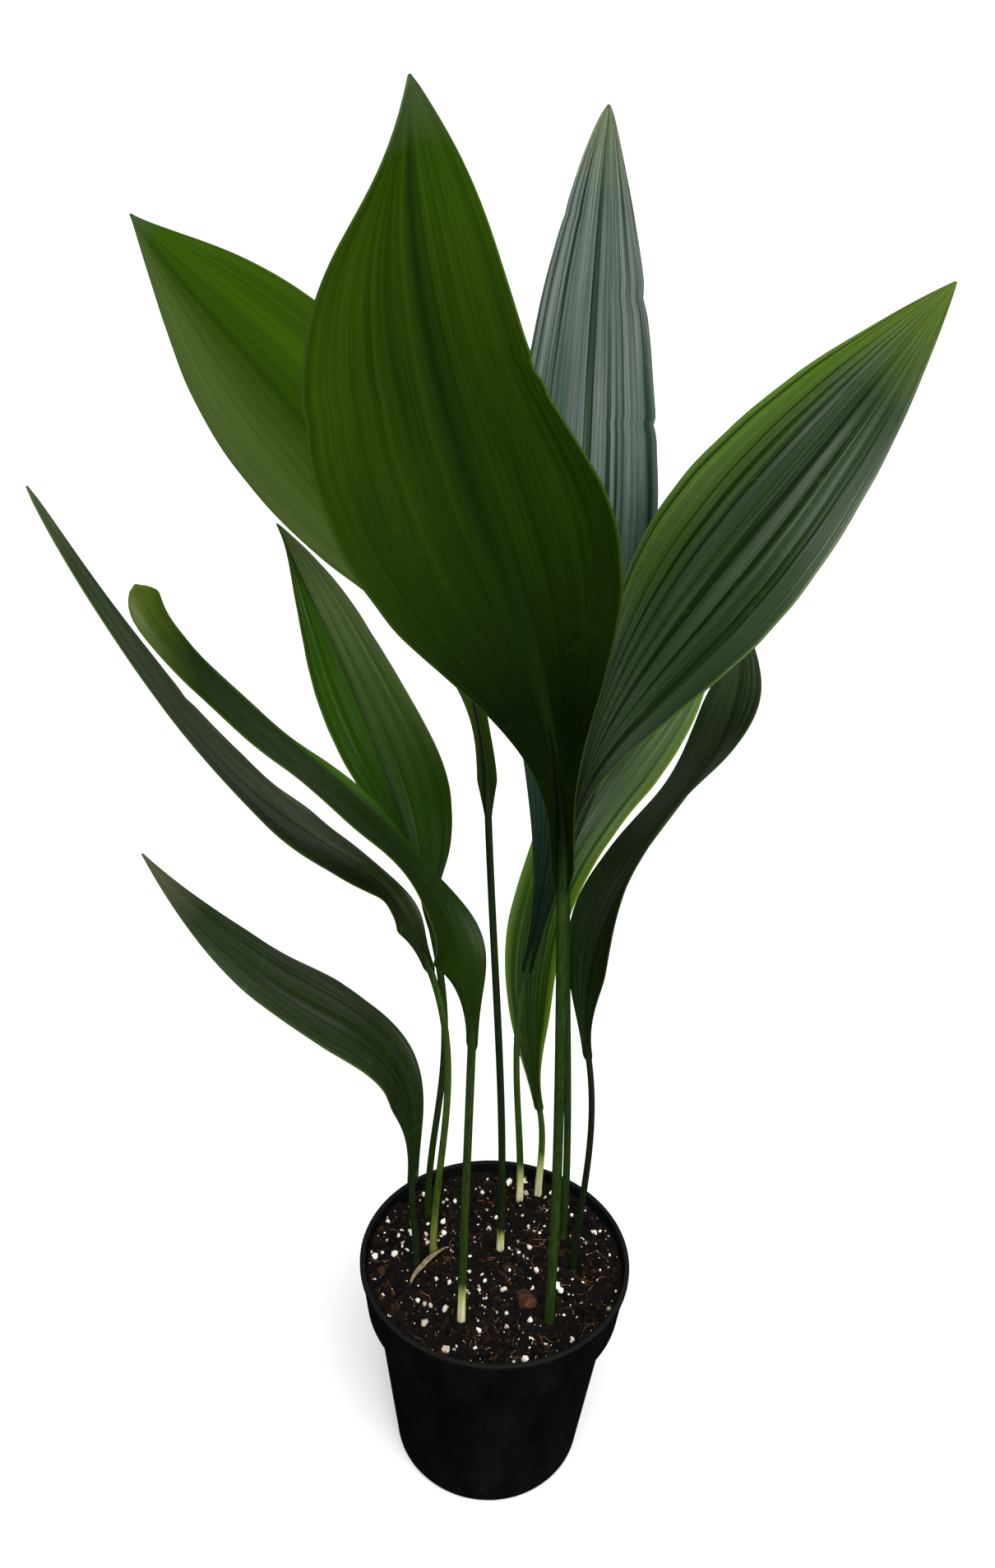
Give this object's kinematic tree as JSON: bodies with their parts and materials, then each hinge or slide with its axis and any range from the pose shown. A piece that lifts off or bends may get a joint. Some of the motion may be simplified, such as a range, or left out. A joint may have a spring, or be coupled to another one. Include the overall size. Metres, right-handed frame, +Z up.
{
  "type": "potted cast iron plant",
  "caption": "Cast iron plant in a round black nursery pot: broad pointed leaves on slender stalks that rise from creeping rhizomes in potting mix.",
  "frame": {"origin": "centre of the pot's flat base, on the surface it stands on", "axes": "+Z up along the pot's axis; -Y is the front, where the broadest leaf leans out; +X is the right seen from the front"},
  "size_m": [0.3569, 0.3341, 0.7102],
  "materials": {
    "pot_plastic": "moulded black polypropylene, low sheen",
    "potting_mix": "loose dark bark and peat with pale perlite grains",
    "rhizome_bark": "dry brown scaly skin",
    "leaf_blade": "leathery leaf, glossy above and matte below, with fine parallel pleats",
    "leaf_stalk": "smooth green stalk, cream white at its foot"
  },
  "bodies": {
    "root": {"pot": "pot_plastic", "soil": "potting_mix", "left_rhizome": "rhizome_bark", "middle_rhizome": "rhizome_bark", "right_rhizome": "rhizome_bark", "front_stalk": "leaf_stalk", "front_blade": "leaf_blade", "rear_stalk": "leaf_stalk", "rear_blade": "leaf_blade", "right_stalk": "leaf_stalk", "right_blade": "leaf_blade", "left_stalk": "leaf_stalk", "left_blade": "leaf_blade", "left_inner_stalk": "leaf_stalk", "left_inner_blade": "leaf_blade", "left_outer_stalk": "leaf_stalk", "left_outer_blade": "leaf_blade", "left_middle_stalk": "leaf_stalk", "left_middle_blade": "leaf_blade", "left_low_stalk": "leaf_stalk", "left_low_blade": "leaf_blade", "right_low_stalk": "leaf_stalk", "right_low_blade": "leaf_blade", "rear_low_stalk": "leaf_stalk", "rear_low_blade": "leaf_blade"}
  },
  "joints": []
}
